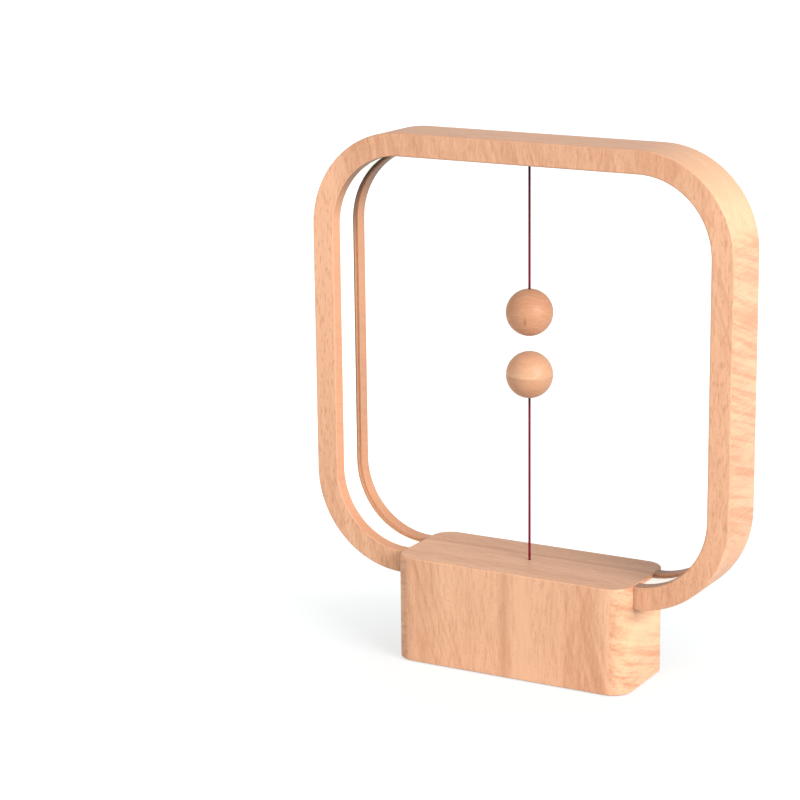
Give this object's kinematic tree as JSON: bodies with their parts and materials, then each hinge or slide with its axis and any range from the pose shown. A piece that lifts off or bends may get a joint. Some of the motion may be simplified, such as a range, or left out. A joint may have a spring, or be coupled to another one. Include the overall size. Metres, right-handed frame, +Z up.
{
  "type": "magnetic balance lamp",
  "caption": "Table lamp: a lit rounded-square beech frame in a beech base, with magnetic balls on a hanging cord and on a taut cord from the base.",
  "frame": {"origin": "on the floor under the middle of the base", "axes": "+X along the frame's width, +Y from front to back, +Z up"},
  "size_m": [0.23, 0.052, 0.27],
  "materials": {
    "beech_frame": "satin",
    "beech_base": "satin",
    "beech_ball": "satin",
    "beech_dowel": "matte",
    "opal_diffuser": "satin",
    "tape": "matte",
    "led_chip": "gloss",
    "red_cord": "matte",
    "brass": "satin",
    "nylon": "matte",
    "spring_steel": "satin",
    "screw_steel": "satin",
    "black_moulding": "matte",
    "red_button": "gloss",
    "nickel_magnet": "polished",
    "painted_cover": "matte",
    "foot_rubber": "matte",
    "circuit_board": "satin",
    "capacitor_can": "satin",
    "socket_shell": "satin",
    "lead_insulation": "satin"
  },
  "bodies": {
    "lamp": {"ring_frame": "beech_frame", "base_housing": "beech_base", "ring_dowels": "beech_dowel", "light_diffuser": "opal_diffuser", "led_tape": "tape", "led_chips": "led_chip", "upper_cord_tail": "red_cord", "anchor_knot": "red_cord", "cord_anchor": "brass", "board_standoffs": "brass", "switch_terminals": "brass", "plunger_guide": "nylon", "guide_cap": "nylon", "cord_liner": "nylon", "plunger_spring": "spring_steel", "cover_screws": "screw_steel", "guide_screws": "screw_steel", "switch_screws": "screw_steel", "board_screws": "screw_steel", "micro_switch": "black_moulding", "driver_chip": "black_moulding", "choke_coil": "black_moulding", "socket_bezel": "black_moulding", "bottom_cover": "painted_cover", "rubber_feet": "foot_rubber", "driver_board": "circuit_board", "smoothing_capacitor": "capacitor_can", "power_socket": "socket_shell", "led_leads": "lead_insulation", "switch_leads": "lead_insulation"},
    "upper_cord_flex": {"upper_cord_bend": "red_cord"},
    "upper_pendulum": {"upper_cord": "red_cord", "upper_ball_top": "beech_ball", "upper_ball_bottom": "beech_ball", "upper_magnet": "nickel_magnet", "upper_ball_knot": "red_cord"},
    "plunger": {"pull_plunger": "nylon", "striker_disc": "nylon", "plunger_knot": "red_cord", "lower_cord_tail": "red_cord"},
    "lower_cord_flex": {"lower_cord_bend": "red_cord"},
    "lower_cord_lean": {"lower_cord": "red_cord"},
    "lower_ball": {"lower_ball_top": "beech_ball", "lower_ball_bottom": "beech_ball", "lower_magnet": "nickel_magnet", "lower_ball_knot": "red_cord"},
    "lever": {"switch_lever": "spring_steel"},
    "button": {"switch_button": "red_button"}
  },
  "joints": [
    {"name": "upper_swing_sideways", "type": "hinge", "parent": "lamp", "child": "upper_cord_flex", "pos_m": [0, 0, 0.25944], "axis": [0, 1, 0], "range_deg": [-60, 60]},
    {"name": "upper_swing_front_back", "type": "hinge", "parent": "upper_cord_flex", "child": "upper_pendulum", "pos_m": [0, 0, 0.25944], "axis": [1, 0, 0], "range_deg": [-60, 60]},
    {"name": "pull_plunger_slide", "type": "slide", "parent": "lamp", "child": "plunger", "axis": [0, 0, 1], "range_m": [-0.003, 0], "stiffness_N_per_m": 30, "springref_m": 0.012, "deforming": ["plunger_spring"]},
    {"name": "lower_lean_sideways", "type": "hinge", "parent": "plunger", "child": "lower_cord_flex", "pos_m": [0, 0, 0.05615], "axis": [0, 1, 0], "range_deg": [-10, 10], "stiffness_Nm_per_rad": 0.03},
    {"name": "lower_lean_front_back", "type": "hinge", "parent": "lower_cord_flex", "child": "lower_cord_lean", "pos_m": [0, 0, 0.05615], "axis": [1, 0, 0], "range_deg": [-10, 10], "stiffness_Nm_per_rad": 0.03},
    {"name": "lower_ball_drop", "type": "slide", "parent": "lower_cord_lean", "child": "lower_ball", "axis": [0, 0, 1], "range_m": [-0.0805, 0], "stiffness_N_per_m": 0.6, "springref_m": 0.25, "deforming": ["lower_cord"]},
    {"name": "switch_lever_swing", "type": "hinge", "parent": "lamp", "child": "lever", "pos_m": [0.0276, 0, 0.0226], "axis": [0, 1, 0], "range_deg": [-7.4, 0]},
    {"name": "switch_button_slide", "type": "slide", "parent": "lamp", "child": "button", "axis": [0, 0, 1], "range_m": [-0.00092, 0]}
  ],
  "couplings": [
    {"joint": "switch_lever_swing", "follows": "pull_plunger_slide", "rad_per_m": 42.505},
    {"joint": "switch_button_slide", "follows": "pull_plunger_slide", "ratio": 0.30333}
  ]
}
